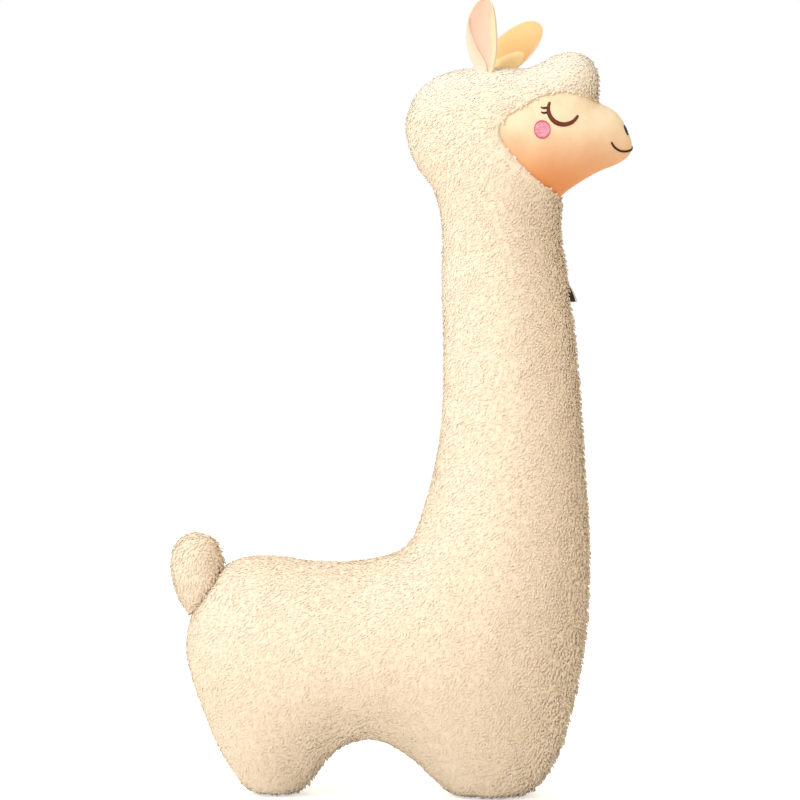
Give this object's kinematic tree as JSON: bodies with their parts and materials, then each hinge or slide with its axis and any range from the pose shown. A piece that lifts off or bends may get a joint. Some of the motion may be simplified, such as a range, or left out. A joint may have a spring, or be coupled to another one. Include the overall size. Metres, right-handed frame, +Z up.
{
  "type": "plush alpaca",
  "caption": "Long-necked plush alpaca pillow with curly fleece, a smooth embroidered face, cupped ears and a stuffed tail, standing on two soft feet.",
  "frame": {"origin": "on the floor, under the middle of the bounding box", "axes": "+X towards the nose, +Y the animal's left side, +Z up"},
  "size_m": [0.584, 0.2294, 0.998],
  "materials": {
    "fleece": "curly cream fleece",
    "face_velour": "short smooth velour",
    "filling": "white fibrefill",
    "ear_velour": "short smooth velour",
    "ear_lining": "short smooth velour",
    "brown_thread": "satin stitch",
    "black_thread": "satin stitch",
    "pink_thread": "satin stitch",
    "satin_label": "woven satin tape"
  },
  "bodies": {
    "root": {"body_filling": "filling", "tail_filling": "filling", "fleece_panel_left": "fleece", "fleece_panel_right": "fleece", "tail_fleece_left": "fleece", "tail_fleece_right": "fleece", "face_panel_left": "face_velour", "face_panel_right": "face_velour", "ear_outer_left": "ear_velour", "ear_outer_right": "ear_velour", "ear_lining_left": "ear_lining", "ear_lining_right": "ear_lining", "eye_left": "brown_thread", "eye_right": "brown_thread", "lash_1_left": "brown_thread", "lash_1_right": "brown_thread", "lash_2_left": "brown_thread", "lash_2_right": "brown_thread", "cheek_left": "pink_thread", "cheek_right": "pink_thread", "mouth_left": "black_thread", "mouth_right": "black_thread", "nostril_left": "black_thread", "nostril_right": "black_thread", "sewn_label": "satin_label"}
  },
  "joints": []
}
